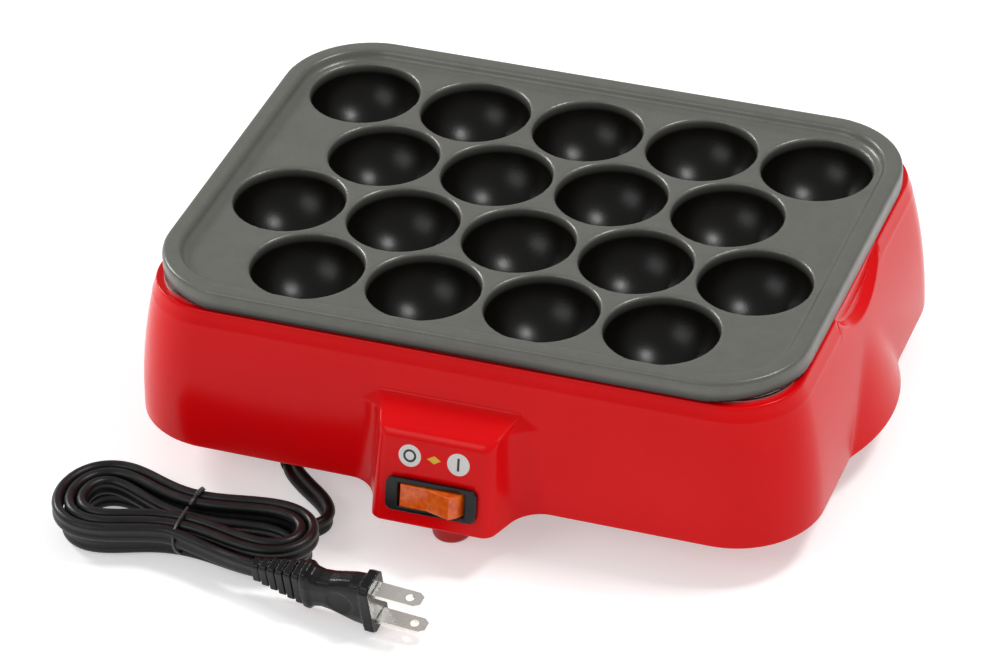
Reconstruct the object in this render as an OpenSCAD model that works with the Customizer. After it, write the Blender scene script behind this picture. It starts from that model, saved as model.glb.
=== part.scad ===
// Takoyaki maker: a lift-off plate of hemispherical pockets over a bent heating element.
// The machine stands on Z = 0, its front faces -Y, and the origin is under the middle of its outline.

/* [Plate] */
// Width of the plate over its skirt
plate_w = 232; // [228:1:250]
// Depth of the plate over its skirt
plate_d = 172; // [169:1:190]
// Corner radius of the plate
plate_corner = 32; // [26:1:36]
// Height of the plate's side, from the skirt's lower edge to the top of the rim
plate_h = 8; // [7:0.5:11]
// Height of the raised rim above the pocket floor
rim_h = 3.5; // [2.5:0.5:4.5]
// Width of the raised rim
rim_w = 6.6; // [5:0.2:7]
// Thickness of the skirt
skirt_t = 3; // [2.5:0.25:4]
// Thickness of the flat web between the pockets
web_t = 3; // [2:0.25:3.5]
// Distance from the plate's end to the middle of an end pocket
end_margin = 30.6; // [30:0.1:32]
// Distance from the plate's front or back to the middle of the nearest row
row_margin = 30.5; // [30:0.1:32]
// Land between neighbouring pockets
pocket_land = 2.7; // [2.2:0.1:4]
// Wall of a pocket's cup
cup_wall = 2.5; // [2:0.25:2.5]

/* [Body] */
// Margin of the body's lower outline beyond the plate, at each end
margin_x = 7.5; // [7:0.25:12]
// Margin of the body's lower outline beyond the plate, front and back
margin_y = 6.5; // [6.5:0.25:12]
// Corner radius of the body's lower outline
body_corner = 31; // [29:1:40]
// Height of the wall's lower edge above the table
body_clear = 16; // [13:0.5:20]
// Height of the shoulder's edge
shoulder_h = 64; // [62:0.5:66]
// How far the wall leans in at the shoulder's edge
wall_lean = 5.8; // [4.6:0.2:6.4]
// Rise from the shoulder's edge to the ledge
shoulder_rise = 5; // [4:0.25:6]
// How far the shoulder runs inwards
shoulder_run = 1.6; // [1.4:0.2:2.6]
// Width of the ledge that carries the pan and the plate
ledge_w = 4.8; // [4.4:0.2:6]
// Wall of the body
wall = 2.8; // [2:0.2:3.2]

/* [Finger notches and grips] */
// Width of a finger notch at the shoulder
notch_w = 54; // [44:1:60]
// Depth of a finger notch below the shoulder's edge
notch_drop = 10; // [8:0.5:13]
// Half width of a grip bulge at the lower edge
grip_half = 30; // [24:1:36]
// How far a grip bulge stands out of the end wall
grip_out = 7; // [5:0.5:9]
// Height of a grip bulge
grip_h = 30; // [24:1:36]

/* [Switch box] */
// How far the box stands out at its lower edge
box_out = 19.5; // [18:0.5:22]
// Half width of the box's front at its lower edge
box_half = 21.2; // [20.6:0.2:25]
// How much narrower each side of the front is at its top
box_taper = 1.2; // [0.5:0.1:2]
// Height of the front above the wall's lower edge
box_h = 31.8; // [30:0.2:35]
// How far the front leans back over its height
box_lean = 8; // [6:0.25:8.5]
// Spread of the box's sides for each millimetre towards the wall
box_flare = 0.35; // [0.25:0.01:0.4]
// Radius where the box's sides run into the wall
box_blend = 8; // [5:0.5:10]

/* [Switch] */
// Height of the switch's centre
switch_h = 26.8; // [26.5:0.1:29]
// Length of the bezel
bezel_l = 32.5; // [31.5:0.25:34]
// Height of the bezel
bezel_w = 12; // [11.6:0.2:13]
// Thickness of the bezel
bezel_t = 1.6; // [1.2:0.1:2]
// Length of the rocker's window
window_l = 24; // [23:0.25:25]
// Height of the rocker's window
window_w = 8.6; // [8.2:0.1:9]
// Running gap round the rocker
rocker_gap = 0.3; // [0.25:0.05:0.4]
// Angle between the rocker's two faces, and its travel
rocker_travel = 22; // [16:1:24]
// Depth of the switch's body behind the bezel
switch_depth = 12; // [11:0.25:12.25]

/* [Heater] */
// Diameter of the element's sheath
tube_d = 6.6; // [6:0.1:7]
// Gap between the cups and the element
tube_gap = 0.8; // [0.5:0.1:1.5]
// Bend radius where the element turns down
tube_bend = 10; // [8:0.5:12]
// Height from the pan's floor to the element
tube_rise = 4.2; // [3:0.2:5]
// Sheet thickness of the pan
sheet = 0.8; // [0.6:0.1:1]

/* [Cover and feet] */
// Thickness of the bottom cover
cover_t = 2; // [1.6:0.1:2]
// How far the cover sits above the wall's lower edge
cover_up = 0.6; // [0.2:0.1:0.6]
// Gap round the cover
cover_gap = 0.4; // [0.3:0.1:0.6]
// Radius of a foot at its lower end
foot_r = 6.8; // [5.5:0.1:8]
// Wall of a foot
foot_wall = 1.8; // [1.4:0.1:2.4]
// Radius of a cover screw's shank
screw_r = 1.5; // [1.25:0.05:1.75]
// Radius of the cover screws' posts
post_r = 4; // [3.5:0.1:4.5]

/* [Cord and plug] */
// Width of the flat twin cord
cord_w = 7; // [6.6:0.1:7.2]
// Thickness of the flat twin cord
cord_t = 3.6; // [3.2:0.1:3.6]
// Height of the plug's face
plug_w = 22; // [20:0.5:24]
// Thickness of the plug's face
plug_t = 12; // [11:0.5:14]
// Length of the plug's body, with its flange and collar
plug_l = 27; // [25:0.5:30]
// Length of the ribbed relief
relief_l = 19; // [17:0.5:24]
// Length of the blades
blade_l = 17.5; // [16:0.25:18.5]
// Width of a blade
blade_w = 6.3; // [6:0.1:6.5]
// Thickness of a blade
blade_t = 1.5; // [1.4:0.05:1.6]
// Distance between the blades' middles
blade_pitch = 12.7; // [12:0.1:13]

/* [Hidden] */
$fn = 64;

body_w = plate_w + 2 * margin_x;
body_d = plate_d + 2 * margin_y;
hx = body_w / 2;
hy = body_d / 2;

// Pockets lie in rows of five and four, each row in the gaps of the next
rows = [4, 5, 4, 5];
pocket_pitch = (plate_w - 2 * end_margin) / (max(rows) - 1);
row_pitch = (plate_d - 2 * row_margin) / (len(rows) - 1);
pocket_r = (min(pocket_pitch, norm([pocket_pitch / 2, row_pitch])) - pocket_land) / 2;

// Heights, from the table up
zb = body_clear;
ledge_z = shoulder_h + shoulder_rise;
skirt_z = ledge_z + sheet;
rim_z = skirt_z + plate_h;
web_z = rim_z - rim_h;
cup_z = web_z - pocket_r - cup_wall;
tube_z = cup_z - tube_gap - tube_d / 2;
floor_z = tube_z - tube_d / 2 - tube_rise;
cover_z = zb + cover_up;
cover_top = cover_z + cover_t;

// Insets from the body's lower outline
shoulder_in = wall_lean + shoulder_run;
lip_in = shoulder_in + ledge_w;
flange_gap = 2.6;
pan_in = lip_in + 0.6;

// The outer wall is an arc that stands upright at its lower edge
wall_h = shoulder_h - zb;
wall_arc = (wall_h * wall_h + wall_lean * wall_lean) / (2 * wall_lean);
function wall_in(z) = wall_arc - sqrt(wall_arc * wall_arc - (z - zb) * (z - zb));

// The switch box's front
box_top = zb + box_h;
face_tilt = atan(box_lean / box_h);
function face_out(z) = box_out - (z - zb) * box_lean / box_h;

// The rocker: its ends are arcs about the pivot, and its face is a shallow open V
pivot_in = 2.6;
rocker_proud = 0.6;
rocker_r = window_l / 2 - rocker_gap;
rocker_face = pivot_in + bezel_t + rocker_proud;
rocker_tip = sqrt(rocker_r * rocker_r - rocker_face * rocker_face) * sin(rocker_travel)
    + rocker_face * cos(rocker_travel);

// The outline's middle lies behind the origin by half of what stands out in front
rocker_w = window_w - 2 * rocker_gap;
front_out = face_out(switch_h) + (rocker_tip - pivot_in) * cos(face_tilt)
    + rocker_w / 2 * sin(face_tilt);
cy = front_out / 2;
pockets = [for (j = [0 : 3], i = [0 : rows[j] - 1])
    [(i - (rows[j] - 1) / 2) * pocket_pitch, cy + (j - 1.5) * row_pitch]];

// Corner centres of the body, where the corner feet stand
foot_x = hx - body_corner;
foot_y = hy - body_corner;
feet = [[-foot_x, cy - foot_y], [foot_x, cy - foot_y], [-foot_x, cy + foot_y], [foot_x, cy + foot_y],
    [0, cy - hy + 0.8]];

// Posts for the cover's screws stand along the front and back walls
post_x = 70;
post_in = wall_in(cover_top + 14) + wall + post_r + 1.5;
posts = [for (sx = [-1, 1], sy = [-1, 1]) [sx * post_x, cy + sy * (hy - post_in)]];

// The element is one long U with its ends turned down through the pan's floor
run_y = row_pitch;
leg_x = -84;
turn_x = 56;
leg_end = floor_z - 6;
seal_l = 3;
pin_end = leg_end - seal_l - 4;
pan_floor_in = 24;
pan_screw_at = [for (sx = [-1, 1], sy = [-1, 1]) [sx * 50, cy + sy * 52]];
vent_pitch = 6.5;
vent_w = 2.6;

// Thermostat and fuse hang under the pan's floor
stat_x = 10;
stat_h = 6;
stat_low = floor_z - sheet - stat_h - 6.1;
fuse_x = -45;
fuse_z = floor_z - sheet - 2.8;
lead_d = 1.8;

// Terminals behind the switch; on_box gives a point of their level in the box's own frame
stub_r = 1.5;
term_x = 8;
term_y = switch_depth + 6;
function on_box(x, y) = [x, cy - hy - face_out(switch_h) + y * cos(face_tilt),
    switch_h - y * sin(face_tilt)];

// The cord rises through its bush beside a foot, passes the clamp and ends where its two cores part
bush_gap = 22.5;
bush_at = [bush_gap - foot_x, cy - foot_y + 3.5];
bush_r = 5.4;
bush_z = cover_z - 3.6;
clamp_y = bush_at[1] + 18.6;
clamp_z = 26;
cord_z = clamp_z + cord_t / 2;
core_y = bush_at[1] + 32.6;
function core_at(side) = [bush_at[0] + side * cord_w / 4, core_y, cord_z];

// The hank lies on the table: two layers of loops, drawn in at the waist and tied there
hank_at = [-83, -113.5];
hank_low = 4.4;
hank_layer = 7.5;
hank_pitch = 4.2;
hank_half = 37.5;
hank_waist = 1.3;
hank_bulge = 16;
hank_skew = 0.3;
hank_from = 75;
hank_turn = hank_from + 720;
hank_step = 15;
hank_rings = 108;

// The plug lies on edge, and its axis starts where the cord enters the relief
plug_at = [-50.5, -133.4, 11.6];
plug_turn = -5.7;
plug_roll = 11;

RED = [0.78, 0.05, 0.07];
GREY = [0.42, 0.42, 0.40];
BLACK = [0.08, 0.08, 0.08];
STEEL = [0.75, 0.75, 0.73];

// ---- Shared shapes ----

// Sweeps a profile round a rounded rectangle; the profile's x is measured outwards from the outline
module ring(w, d, r) {
    for (k = [0 : 3]) {
        half = k % 2 == 0 ? w / 2 : d / 2;
        other = k % 2 == 0 ? d / 2 : w / 2;
        rotate([0, 0, 90 * k]) {
            translate([half - r, other - r, 0])
                rotate_extrude(angle = 90)
                    translate([r, 0])
                        children();
            translate([half, 0, 0])
                rotate([90, 0, 0])
                    linear_extrude(height = 2 * (other - r), center = true)
                        children();
        }
    }
}

module rounded_rect(w, d, r) {
    square([w - 2 * r, d], center = true);
    square([w, d - 2 * r], center = true);
    for (sx = [-1, 1], sy = [-1, 1])
        translate([sx * (w / 2 - r), sy * (d / 2 - r)])
            circle(r);
}

module slab(w, d, r, h) {
    linear_extrude(height = h)
        rounded_rect(w, d, r);
}

// Places a child on the box's slanted front, with -Y out of the face and Z up along it
module on_face() {
    translate([0, cy - hy - face_out(switch_h), switch_h])
        rotate([-face_tilt, 0, 0])
            children();
}

// Unit vectors and rings for swept tubes
function unit(v) = v / norm(v);
function tangent(p, i) = unit(p[min(i + 1, len(p) - 1)] - p[max(i - 1, 0)]);

// One ring of a flat tube: w along the up vector, t across it
function ring_at(p, i, up, w, t, n) =
    let (d = tangent(p, i), s = unit(cross(up, d)), u = cross(d, s))
    [for (k = [0 : n - 1]) let (a = 360 * (k + 0.5) / n)
        p[i] + s * t / 2 * cos(a) / cos(180 / n) + u * w / 2 * sin(a) / cos(180 / n)];

// Joins rings of n points each into one closed solid
module skin(rings) {
    m = len(rings);
    n = len(rings[0]);
    points = [for (q = rings) each q];
    sides = [for (i = [0 : m - 2], k = [0 : n - 1])
        let (a = i * n + k, b = i * n + (k + 1) % n)
        each [[a, a + n, b], [b, a + n, b + n]]];
    caps = [[for (k = [0 : n - 1]) k], [for (k = [n - 1 : -1 : 0]) (m - 1) * n + k]];
    polyhedron(points, concat(sides, caps));
}

module tube(p, ups, w, t, n) {
    skin([for (i = [0 : len(p) - 1]) ring_at(p, i, ups[i], w, t, n)]);
}

// Rounds a route given by hand-chosen points with a quadratic curve at each inner point
function bend(a, b, c, n) = [for (k = [0 : n]) let (t = k / n)
    (a + b) / 2 * (1 - t) * (1 - t) + b * 2 * t * (1 - t) + (b + c) / 2 * t * t];
function rounded_route(p, n) = concat([p[0]],
    [for (i = [1 : len(p) - 2]) each bend(p[i - 1], p[i], p[i + 1], n)], [p[len(p) - 1]]);
function distinct(p) = [for (i = [0 : len(p) - 1]) if (i == 0 || norm(p[i] - p[i - 1]) > 0.01) p[i]];

module wire(p, d) {
    route = distinct(rounded_route(p, 4));
    tube(route, [for (q = route) [0.3, 0.2, 1]], d, d, 6);
}

// ---- Plate ----

module plate_profile() {
    polygon([[0, skirt_z], [0, rim_z - 1.2], [-0.35, rim_z - 0.35], [-1.2, rim_z],
        [-rim_w + 0.8, rim_z], [-rim_w, rim_z - 0.8], [-rim_w - 0.4, web_z + 1.6],
        [-rim_w - 0.9, web_z + 0.5], [-rim_w - 2.2, web_z], [-rim_w - 4, web_z],
        [-rim_w - 4, web_z - web_t], [-skirt_t, web_z - web_t], [-skirt_t, skirt_z]]);
}

module cook_plate() {
    cup_r = pocket_r + cup_wall;
    web_in = rim_w + 3;
    color(GREY) difference() {
        union() {
            translate([0, cy, 0])
                ring(plate_w, plate_d, plate_corner)
                    plate_profile();
            translate([0, cy, web_z - web_t])
                slab(plate_w - 2 * web_in, plate_d - 2 * web_in, plate_corner - web_in, web_t);
            difference() {
                for (p = pockets)
                    translate([p[0], p[1], web_z])
                        sphere(cup_r);
                translate([-plate_w, -plate_d, web_z])
                    cube([2 * plate_w, 2 * plate_d, cup_r + 1]);
            }
        }
        for (p = pockets)
            translate([p[0], p[1], web_z]) {
                sphere(pocket_r);
                translate([0, 0, -0.6])
                    cylinder(h = 1.2, r1 = pocket_r - 0.6, r2 = pocket_r + 1.2);
            }
    }
}

// ---- Body shell ----

module wall_profile() {
    steps = 9;
    outer = [for (i = [0 : steps]) let (z = zb + wall_h * i / steps) [-wall_in(z), z]];
    inner = [for (i = [steps - 1 : -1 : 0]) let (z = zb + (wall_h - 3) * i / steps)
        [-wall_in(z) - wall, z]];
    below = [[-wall, zb - 0.5], [0, zb - 0.5]];
    top = [[-wall_lean - 0.35, shoulder_h + 0.9], [-shoulder_in, ledge_z], [-lip_in, ledge_z],
        [-lip_in, ledge_z - wall], [-shoulder_in - 2, ledge_z - wall]];
    polygon(concat(outer, top, inner, below));
}

// The box's outline at height z, from inside the wall at -X round the front to inside it at +X;
// inset is the skin left outside it
function box_roof(inset) = box_top - inset * 1.1;
function box_face(z, inset) = face_out(min(z, box_roof(inset) - 3)) - inset * 1.03;
function box_front(z, inset) = let (up = z - box_roof(inset))
    box_face(z, inset) - (up <= -3 ? 0 : up <= 1 ? (up + 3) * (up + 3) / 8 : 2 + (up - 1) * 3.2);
function box_side(z, inset) = box_half - box_taper * (z - zb) / box_h - inset * 1.06;
function blend(v) = 1 - sqrt(1 - (1 - v) * (1 - v));
function half_outline(z, inset) =
    let (surface = wall_in(z) + (inset > 0 ? wall : 0), s = box_side(z, inset),
        full = box_face(z, inset) + surface, depth = box_front(z, inset) + surface,
        deep = max(depth, 1.2), c = min(max(3 - inset, 0.8), deep / 3),
        r = min(box_blend + inset, deep * 0.6))
    concat([[s + box_flare * full + r * blend(0.02), -(inset > 0 ? wall + 1 : wall * 0.6) - surface]],
        [for (v = [0.02, 0.08, 0.25, 0.5, 0.8])
            [s + box_flare * (full - v * r) + r * blend(v), v * r + depth - deep - surface]],
        [for (a = [0 : 30 : 90]) let (d = deep - c * (1 - sin(a)))
            [s + box_flare * (full - d) - c * (1 - cos(a)), d + depth - deep - surface]]);
function box_outline(z, inset) = let (h = half_outline(z, inset), n = len(h))
    concat([for (q = h) [-q[0], -q[1], z]], [for (i = [n - 1 : -1 : 0]) [h[i][0], -h[i][1], z]]);

module box_loft(inset) {
    roof = box_roof(inset);
    low = zb - (inset > 0 ? 1 : 0.5);
    levels = [low, zb + box_h / 3, zb + 2 * box_h / 3, roof - 3, roof - 2, roof - 1, roof, roof + 1,
        roof + 2.2, roof + 3.4, roof + 5.6];
    m = len(levels);
    rings = [for (z = levels) box_outline(z, inset)];
    n = len(rings[0]);
    points = [for (q = rings) each q];
    sides = [for (i = [0 : m - 2], k = [0 : n - 1])
        let (a = i * n + k, b = i * n + (k + 1) % n)
        each [[a, a + n, b], [b, a + n, b + n]]];
    bottom = [for (k = [0 : n - 1]) k];
    top = [for (k = [n - 1 : -1 : 0]) (m - 1) * n + k];
    translate([0, cy - hy, 0])
        polyhedron(points, concat(sides, [bottom, top]));
}

// A grip bulge is a slice of a steep cone that meets the end wall in an arch
grip_r = (grip_half * grip_half + grip_out * grip_out) / (2 * grip_out);
grip_top_r = grip_r - grip_out - wall_in(zb + grip_h);
module grip(skin) {
    drop = skin > 0 ? 1 : 0.5;
    back = skin > 0 ? wall + 2 : (wall_in(zb + grip_h) + wall) / 2;
    intersection() {
        translate([hx + grip_out - grip_r, cy, zb - drop])
            cylinder(h = grip_h + drop, r1 = grip_r - skin, r2 = grip_top_r - skin * 1.05, $fn = 96);
        translate([hx - back, cy - grip_half - 4, zb - 2])
            cube([grip_out + back + 2, 2 * grip_half + 8, grip_h + 4]);
    }
}

// A finger notch is a scoop that opens outwards, between the wall and the ledge
notch_r = (notch_w * notch_w / 4 + notch_drop * notch_drop) / (2 * notch_drop);
module notch(skin) {
    deep = shoulder_run + 3.2;
    translate([hx - shoulder_in - 0.6, cy, shoulder_h - notch_drop + notch_r])
        rotate([0, 90, 0])
            cylinder(h = deep + wall_lean, r1 = notch_r - 5 + skin, r2 = notch_r + 2 + skin, $fn = 96);
}

module cover_post(p) {
    side = p[1] > cy ? 1 : -1;
    translate([p[0], p[1], cover_top])
        cylinder(h = 24, r = post_r, $fn = 32);
    translate([p[0] - 1, p[1] + (side > 0 ? 0 : -post_in + wall), cover_top])
        cube([2, post_in - wall, 22]);
}

module body_shell() {
    color(RED) difference() {
        union() {
            translate([0, cy, 0])
                ring(body_w, body_d, body_corner)
                    wall_profile();
            box_loft(0);
            for (m = [0, 1])
                mirror([m, 0, 0]) {
                    grip(0);
                    intersection() {
                        notch(wall);
                        translate([hx - shoulder_in - 2, cy - notch_w, shoulder_h - notch_drop - wall - 2])
                            union() {
                                cube([1.8, 2 * notch_w, notch_drop + wall + 2 + shoulder_rise]);
                                cube([3.7, 2 * notch_w, notch_drop + wall]);
                            }
                    }
                }
            for (p = posts)
                cover_post(p);
        }
        translate([-body_w, -body_d, zb - 2])
            cube([2 * body_w, 2 * body_d, 2]);
        box_loft(wall);
        for (m = [0, 1])
            mirror([m, 0, 0]) {
                grip(wall);
                notch(0);
            }
        for (p = posts)
            translate([p[0], p[1], cover_top - 1])
                cylinder(h = 17, r = screw_r - 0.2, $fn = 24);
        on_face()
            cube([bezel_l - 4, 3 * wall, bezel_w - 1.2], center = true);
    }
}

// ---- Bottom cover and screws ----

module foot(p) {
    top = foot_r + 0.8;
    translate([p[0], p[1], 0])
        rotate_extrude()
            polygon([[0, 0], [foot_r - 1.2, 0], [foot_r - 0.35, 0.35], [foot_r, 1.2],
                [top, cover_z], [top, cover_z + 0.4], [0, cover_z + 0.4]]);
}

module foot_hollow(p) {
    translate([p[0], p[1], 2.5])
        cylinder(h = cover_top - 1.5, r1 = foot_r - foot_wall, r2 = foot_r + 0.8 - foot_wall);
}

// The arch of a grip bulge at height z, less a skin
function grip_at(z, skin) = grip_r - (grip_r - grip_top_r) * (z - zb) / grip_h - skin * 1.05;

module cover_plan() {
    inset = wall_in(cover_top) + wall + cover_gap;
    difference() {
        union() {
            rounded_rect(body_w - 2 * inset, body_d - 2 * inset, body_corner - inset);
            for (m = [0, 1])
                mirror([m, 0])
                    intersection() {
                        translate([hx + grip_out - grip_r, 0])
                            circle(grip_at(cover_top, wall + cover_gap), $fn = 96);
                        translate([hx - wall - 6, -grip_half])
                            square([grip_out + wall + 6, 2 * grip_half]);
                    }
            translate([0, -hy])
                polygon([for (q = box_outline(cover_top, wall + cover_gap)) [q[0], q[1]]]);
        }
        for (x = [-40, 0, 40], y = [-1, 1], i = [-2 : 2])
            translate([x + i * vent_pitch, y * 30])
                square([vent_w, 30], center = true);
    }
}

module bottom_cover() {
    color(RED) difference() {
        union() {
            translate([0, cy, cover_z])
                linear_extrude(height = cover_t)
                    cover_plan();
            for (p = feet)
                foot(p);
            for (p = pan_screw_at)
                translate([p[0], p[1], cover_z])
                    cylinder(h = floor_z - sheet - cover_z, r = post_r, $fn = 32);
            translate([bush_at[0] - 11, clamp_y - 4, cover_z])
                cube([22, 8, clamp_z - cover_z]);
        }
        for (p = feet)
            foot_hollow(p);
        for (p = posts) {
            translate([p[0], p[1], cover_z - 1])
                cylinder(h = cover_t + 2, r = screw_r, $fn = 32);
            translate([p[0], p[1], cover_z - 0.01])
                cylinder(h = 1.41, r1 = screw_r + 1.41, r2 = screw_r, $fn = 32);
        }
        for (p = pan_screw_at)
            translate([p[0], p[1], floor_z - sheet - 12])
                cylinder(h = 13, r = screw_r, $fn = 32);
        translate([bush_at[0], bush_at[1], cover_z - 1])
            cylinder(h = cover_t + 2, r = bush_r);
        for (s = [-1, 1])
            translate([bush_at[0] + s * 7.4, clamp_y, clamp_z - 6])
                cylinder(h = 7, r = 1.25, $fn = 24);
    }
}

// A cross recess, cut upwards from z = 0
module cross_recess(l, depth) {
    translate([-l / 2, -0.35, -0.1])
        cube([l, 0.7, depth + 0.1]);
    translate([-0.35, -l / 2, -0.1])
        cube([0.7, l, depth + 0.1]);
}

module cover_screws() {
    color(STEEL) for (p = posts)
        translate([p[0], p[1], cover_z])
            difference() {
                union() {
                    cylinder(h = 1.4, r1 = screw_r + 1.4, r2 = screw_r, $fn = 32);
                    cylinder(h = 13, r = screw_r, $fn = 32);
                }
                cross_recess(3, 0.9);
            }
}

module pan_screws() {
    color(STEEL) for (p = pan_screw_at)
        translate([p[0], p[1], floor_z])
            difference() {
                union() {
                    cylinder(h = 1.4, r = 3, $fn = 32);
                    translate([0, 0, 1.4])
                        cylinder(h = 0.6, r1 = 3, r2 = 2, $fn = 32);
                    translate([0, 0, -sheet - 10])
                        cylinder(h = sheet + 11, r = screw_r, $fn = 32);
                }
                translate([0, 0, 2])
                    mirror([0, 0, 1])
                        cross_recess(3, 0.9);
            }
}

// ---- Pan and element ----

module pan_profile() {
    slope = (pan_floor_in - pan_in) / (ledge_z - floor_z + sheet);
    skin = sheet * sqrt(1 + slope * slope);
    rise = sheet * slope;
    polygon([[-shoulder_in - flange_gap, ledge_z], [-shoulder_in - flange_gap, skirt_z],
        [-pan_in + rise - skin, skirt_z], [-pan_floor_in + rise - skin, floor_z],
        [-pan_floor_in - 4, floor_z], [-pan_floor_in - 4, floor_z - sheet],
        [-pan_floor_in, floor_z - sheet], [-pan_in, ledge_z]]);
}

module reflector_pan() {
    inset = pan_floor_in + 3;
    color(STEEL) difference() {
        union() {
            translate([0, cy, 0])
                ring(body_w, body_d, body_corner)
                    pan_profile();
            translate([0, cy, floor_z - sheet])
                slab(body_w - 2 * inset, body_d - 2 * inset, max(body_corner - inset, 3), sheet);
        }
        for (s = [-1, 1])
            translate([leg_x, cy + s * run_y, floor_z - 2])
                cylinder(h = 4, r = tube_d / 2 + 0.8);
        for (p = pan_screw_at)
            translate([p[0], p[1], floor_z - 2])
                cylinder(h = 4, r = screw_r, $fn = 32);
        translate([stat_x, cy, floor_z - 2])
            cylinder(h = 4, r = 6.4);
        for (s = [-1, 1])
            translate([stat_x, cy + s * 12, floor_z - 2])
                cylinder(h = 4, r = 1.5, $fn = 24);
    }
}

module heater_tube() {
    r = tube_d / 2;
    color(BLACK) translate([0, cy, 0]) {
        translate([turn_x, 0, tube_z])
            rotate([0, 0, -90])
                rotate_extrude(angle = 180)
                    translate([run_y, 0])
                        circle(r, $fn = 32);
        for (s = [-1, 1])
            translate([0, s * run_y, 0]) {
                translate([leg_x + tube_bend, 0, tube_z])
                    rotate([0, 90, 0])
                        cylinder(h = turn_x - leg_x - tube_bend, r = r, $fn = 32);
                translate([leg_x + tube_bend, 0, tube_z - tube_bend])
                    rotate([90, 0, 0])
                        rotate([0, 0, 90])
                            rotate_extrude(angle = 90)
                                translate([tube_bend, 0])
                                    circle(r, $fn = 32);
                translate([leg_x, 0, leg_end])
                    cylinder(h = tube_z - tube_bend - leg_end, r = r, $fn = 32);
            }
    }
}

module heater_seals() {
    color([0.9, 0.88, 0.82]) for (s = [-1, 1])
        translate([leg_x, cy + s * run_y, leg_end - seal_l])
            difference() {
                union() {
                    cylinder(h = seal_l, r = tube_d / 2 - 0.6, $fn = 32);
                    translate([0, 0, seal_l - 1])
                        cylinder(h = 1, r = tube_d / 2, $fn = 32);
                }
                translate([0, 0, -1])
                    cylinder(h = seal_l + 2, r = 1.2, $fn = 24);
            }
}

module heater_pins() {
    color(STEEL) for (s = [-1, 1])
        translate([leg_x, cy + s * run_y, pin_end])
            cylinder(h = leg_end - pin_end, r = 1.2, $fn = 24);
}

// A strap round the element with a stem and a foot on the pan's floor
module clip_outline() {
    r = tube_d / 2;
    difference() {
        union() {
            circle(r + 0.8, $fn = 32);
            translate([-0.4, -tube_rise - r])
                square([0.8, tube_rise]);
            translate([-0.4, -tube_rise - r])
                square([9, 0.8]);
        }
        circle(r, $fn = 32);
    }
}

module heater_clips() {
    color(STEEL) for (x = [-34, 40], s = [-1, 1])
        translate([x, cy + s * run_y, tube_z])
            rotate([90, 0, 90])
                linear_extrude(height = 8, center = true)
                    mirror([s > 0 ? 1 : 0, 0])
                        clip_outline();
}

// ---- Thermostat and fuse ----

module thermostat() {
    top = floor_z - sheet;
    color(BLACK) difference() {
        union() {
            translate([stat_x, cy, top - stat_h])
                cylinder(h = stat_h, r = 7.8);
            translate([stat_x, cy, top - 0.4])
                cube([7, 32, 0.8], center = true);
            for (s = [-1, 1])
                translate([stat_x + s * 4.5, cy, top - stat_h - 3])
                    cube([0.8, 4.8, 6.2], center = true);
        }
        for (s = [-1, 1])
            translate([stat_x, cy + s * 12, top - 2])
                cylinder(h = 3, r = 1.5, $fn = 24);
    }
}

module thermostat_cap() {
    color(STEEL) translate([stat_x, cy, floor_z - sheet])
        cylinder(h = sheet + 3.6, r = 6);
}

module thermostat_screws() {
    color(STEEL) for (s = [-1, 1])
        translate([stat_x, cy + s * 12, floor_z - sheet - 0.8]) {
            cylinder(h = sheet + 3.6, r = 1.5, $fn = 24);
            difference() {
                translate([0, 0, -1.6])
                    cylinder(h = 1.6, r1 = 2, r2 = 2.8, $fn = 24);
                translate([0, 0, -1.6])
                    cross_recess(2.6, 0.8);
            }
        }
}

module thermal_fuse() {
    color(STEEL) translate([fuse_x - 6, cy, fuse_z])
        rotate([0, 90, 0])
            cylinder(h = 12, r = 2, $fn = 32);
}

module fuse_clip() {
    color(STEEL) translate([fuse_x, cy, fuse_z])
        rotate([90, 0, 90])
            linear_extrude(height = 6, center = true)
                difference() {
                    union() {
                        circle(2.8, $fn = 32);
                        translate([-9, 2])
                            square([18, 0.8]);
                    }
                    circle(2, $fn = 32);
                }
}

// ---- Wiring ----

module lead_live() {
    color([0.1, 0.1, 0.1])
        wire(concat([core_at(1), core_at(1) + [0, 8, 0], [-44, -6, 25], [-14, -34, 25]],
            [on_box(-term_x, term_y + 9), on_box(-term_x, term_y)]), lead_d);
}

module lead_switched() {
    color([0.1, 0.1, 0.1])
        wire([on_box(term_x, term_y), on_box(term_x, term_y + 9), [16, -34, 25],
            [stat_x + 4.5, cy - 10, 25], [stat_x + 4.5, cy, stat_low - 4.5],
            [stat_x + 4.5, cy, stat_low]], lead_d);
}

module lead_link() {
    color([0.75, 0.75, 0.7])
        wire([[stat_x - 4.5, cy, stat_low], [stat_x - 4.5, cy, stat_low - 4.5], [-14, cy + 5, 26],
            [fuse_x + 14, cy, fuse_z], [fuse_x + 6, cy, fuse_z]], lead_d);
}

module lead_heater() {
    color([0.75, 0.75, 0.7])
        wire([[fuse_x - 6, cy, fuse_z], [fuse_x - 16, cy, fuse_z], [-76, 2, 34], [-86, -12, 26],
            [leg_x, cy - run_y, pin_end - 5], [leg_x, cy - run_y, pin_end - 1]], lead_d);
}

module lead_neutral() {
    color([0.85, 0.85, 0.82])
        wire([core_at(-1), core_at(-1) + [0, 10, 0], [-78, 20, 25], [-84, 38, 23],
            [leg_x, cy + run_y, pin_end - 5], [leg_x, cy + run_y, pin_end - 1]], lead_d);
}

module crimp_caps() {
    color([0.8, 0.78, 0.7]) for (s = [-1, 1])
        translate([leg_x, cy + s * run_y, pin_end - 1])
            difference() {
                cylinder(h = 4, r = 2, $fn = 24);
                translate([0, 0, 1])
                    cylinder(h = 4, r = 1.2, $fn = 24);
            }
}

// ---- Switch ----

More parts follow.
